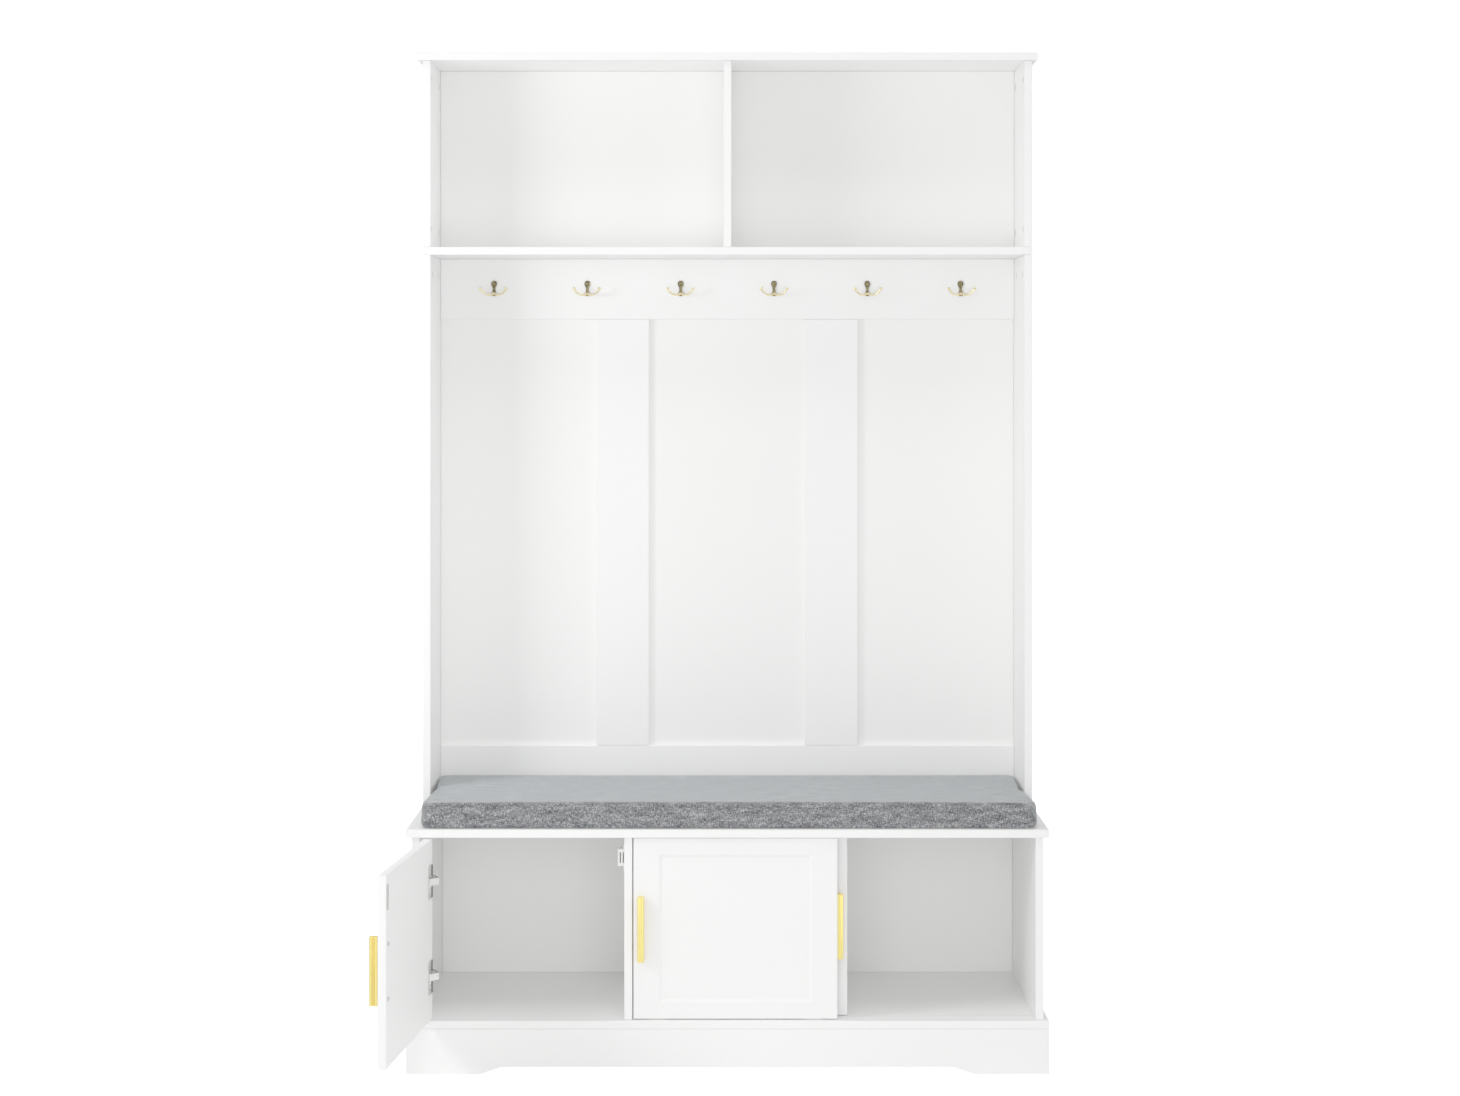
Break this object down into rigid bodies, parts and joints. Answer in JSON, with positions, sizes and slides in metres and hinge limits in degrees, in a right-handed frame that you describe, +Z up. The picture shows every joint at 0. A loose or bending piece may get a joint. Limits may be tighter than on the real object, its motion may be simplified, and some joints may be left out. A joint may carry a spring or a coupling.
{
  "type": "hall tree with hooks",
  "caption": "Hall tree: storage bench with a hinged door, sliding doors and a seat cushion, under a hutch with a row of double coat hooks and open cubbies.",
  "frame": {"origin": "centre of the bench's footprint on the floor", "axes": "+Z up, +X towards the furniture's right end seen from its front, +Y towards the wall; the front faces -Y"},
  "size_m": [1.2217, 0.7838, 1.927],
  "materials": {
    "white_paint": "satin white paint on board",
    "gold": "brushed pale gold",
    "antique_brass": "antique",
    "nickel": "nickel plated",
    "zinc_steel": "zinc plated",
    "nylon": "matte",
    "white_plastic": "matte",
    "grey_linen": "woven heather grey"
  },
  "bodies": {
    "cabinet": {"top_board": "white_paint", "upper_side_left": "white_paint", "upper_side_right": "white_paint", "upper_divider": "white_paint", "upper_back_panel": "white_paint", "middle_shelf": "white_paint", "lower_side_left": "white_paint", "lower_side_right": "white_paint", "hutch_back_panel": "white_paint", "hook_rail": "white_paint", "batten_left": "white_paint", "batten_right": "white_paint", "bottom_rail": "white_paint", "bench_top": "white_paint", "bench_side_left": "white_paint", "bench_side_right": "white_paint", "bench_divider_left": "white_paint", "bench_divider_right": "white_paint", "bench_bottom": "white_paint", "bench_back_panel": "white_paint", "plinth_front": "white_paint", "plinth_left": "white_paint", "plinth_right": "white_paint", "plinth_back": "white_paint", "plinth_brace": "white_paint", "coat_hook_1": "antique_brass", "coat_hook_2": "antique_brass", "coat_hook_3": "antique_brass", "coat_hook_4": "antique_brass", "coat_hook_5": "antique_brass", "coat_hook_6": "antique_brass", "hinge_plate_lower": "nickel", "hinge_arm_lower": "nickel", "hinge_plate_upper": "nickel", "hinge_arm_upper": "nickel", "magnetic_catch": "white_plastic"},
    "cushion": {"seat_cushion": "grey_linen"},
    "left_door": {"hinged_door": "white_paint", "hinged_door_handle": "gold", "handle_screw_lower": "zinc_steel", "handle_screw_upper": "zinc_steel", "strike_plate": "nickel", "hinge_cup_lower": "nickel", "hinge_cup_upper": "nickel"},
    "hinge_links": {"hinge_link_lower": "nickel", "hinge_link_upper": "nickel"},
    "front_door": {"front_sliding_door": "white_paint", "front_door_handle": "gold", "front_bottom_runner_left": "nylon", "front_bottom_runner_right": "nylon", "front_top_runner_left": "nylon", "front_top_runner_right": "nylon"},
    "rear_door": {"rear_sliding_door": "white_paint", "rear_door_handle": "gold", "rear_bottom_runner_left": "nylon", "rear_bottom_runner_right": "nylon", "rear_top_runner_left": "nylon", "rear_top_runner_right": "nylon"}
  },
  "joints": [
    {"name": "cushion_lift", "type": "slide", "parent": "cabinet", "child": "cushion", "axis": [0, 0, 1], "range_m": [0, 0.15]},
    {"name": "door_hinge", "type": "hinge", "parent": "cabinet", "child": "left_door", "pos_m": [-0.5681, -0.2066, 0], "axis": [0, 0, 1], "range_deg": [-9, 96]},
    {"name": "hinge_link_pivot", "type": "hinge", "parent": "cabinet", "child": "hinge_links", "pos_m": [-0.5506, -0.1885, 0], "axis": [0, 0, 1], "range_deg": [-10, 103]},
    {"name": "front_door_slide", "type": "slide", "parent": "cabinet", "child": "front_door", "axis": [1, 0, 0], "range_m": [0, 0.368]},
    {"name": "rear_door_slide", "type": "slide", "parent": "cabinet", "child": "rear_door", "axis": [1, 0, 0], "range_m": [-0.019, 0.348]}
  ],
  "couplings": [
    {"joint": "hinge_link_pivot", "follows": "door_hinge", "ratio": 1.07}
  ]
}
